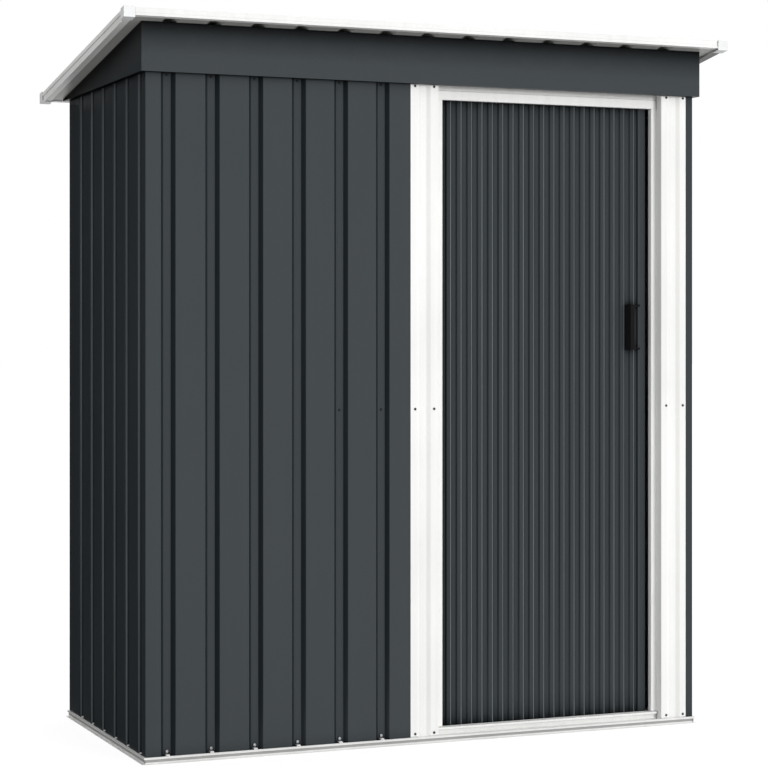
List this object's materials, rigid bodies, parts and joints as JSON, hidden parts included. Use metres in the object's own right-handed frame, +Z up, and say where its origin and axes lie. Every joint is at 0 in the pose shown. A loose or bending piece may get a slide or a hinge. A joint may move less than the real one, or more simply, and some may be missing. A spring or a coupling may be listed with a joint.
{
  "type": "metal storage shed",
  "caption": "Small lean-to garden shed of grooved dark steel sheet with a white pent roof, white door jambs and a finely ribbed sliding door in floor and head tracks.",
  "frame": {"origin": "on the ground under the centre of the roof's plan", "axes": "+Z up, the front with the door faces -Y, +X to the right as seen from the front"},
  "size_m": [1.642, 0.831, 1.8031],
  "materials": {
    "anthracite_steel": "satin powder coat",
    "white_steel": "satin powder coat",
    "galvanised_steel": "zinc-coated sheet",
    "white_plastic": "moulded, fine grain",
    "black_plastic": "moulded, fine grain",
    "grey_nylon": "moulded"
  },
  "bodies": {
    "shed": {"base_rail_front": "galvanised_steel", "base_rail_left": "galvanised_steel", "base_rail_rear": "galvanised_steel", "base_rail_right": "galvanised_steel", "corner_posts": "galvanised_steel", "door_header": "white_steel", "door_jamb_left": "white_steel", "door_jamb_right": "white_steel", "door_sill": "white_steel", "door_track_lower": "galvanised_steel", "door_track_upper": "galvanised_steel", "front_brace": "galvanised_steel", "front_fascia": "anthracite_steel", "front_right_corner": "anthracite_steel", "front_top_rail": "galvanised_steel", "front_wall": "anthracite_steel", "gable_left": "anthracite_steel", "gable_right": "anthracite_steel", "left_brace": "galvanised_steel", "left_top_rail": "galvanised_steel", "left_wall": "anthracite_steel", "rear_brace": "galvanised_steel", "rear_fascia": "anthracite_steel", "rear_top_rail": "galvanised_steel", "rear_wall": "anthracite_steel", "right_brace": "galvanised_steel", "right_top_rail": "galvanised_steel", "right_wall": "anthracite_steel", "roof_beam": "galvanised_steel", "roof_corner_caps": "white_plastic", "roof_sheet_left": "white_steel", "roof_sheet_middle": "white_steel", "roof_sheet_right": "white_steel", "roof_trim_front": "white_steel", "roof_trim_left": "white_steel", "roof_trim_rear": "white_steel", "roof_trim_right": "white_steel"},
    "door": {"door_panel": "anthracite_steel", "door_stile_left": "anthracite_steel", "door_stile_right": "anthracite_steel", "door_bottom_rail": "galvanised_steel", "door_top_rail": "galvanised_steel", "door_middle_rail": "galvanised_steel", "door_glides": "grey_nylon", "door_handle": "black_plastic"}
  },
  "joints": [
    {"name": "door_slide", "type": "slide", "parent": "shed", "child": "door", "axis": [-1, 0, 0], "range_m": [0, 0.52]}
  ]
}
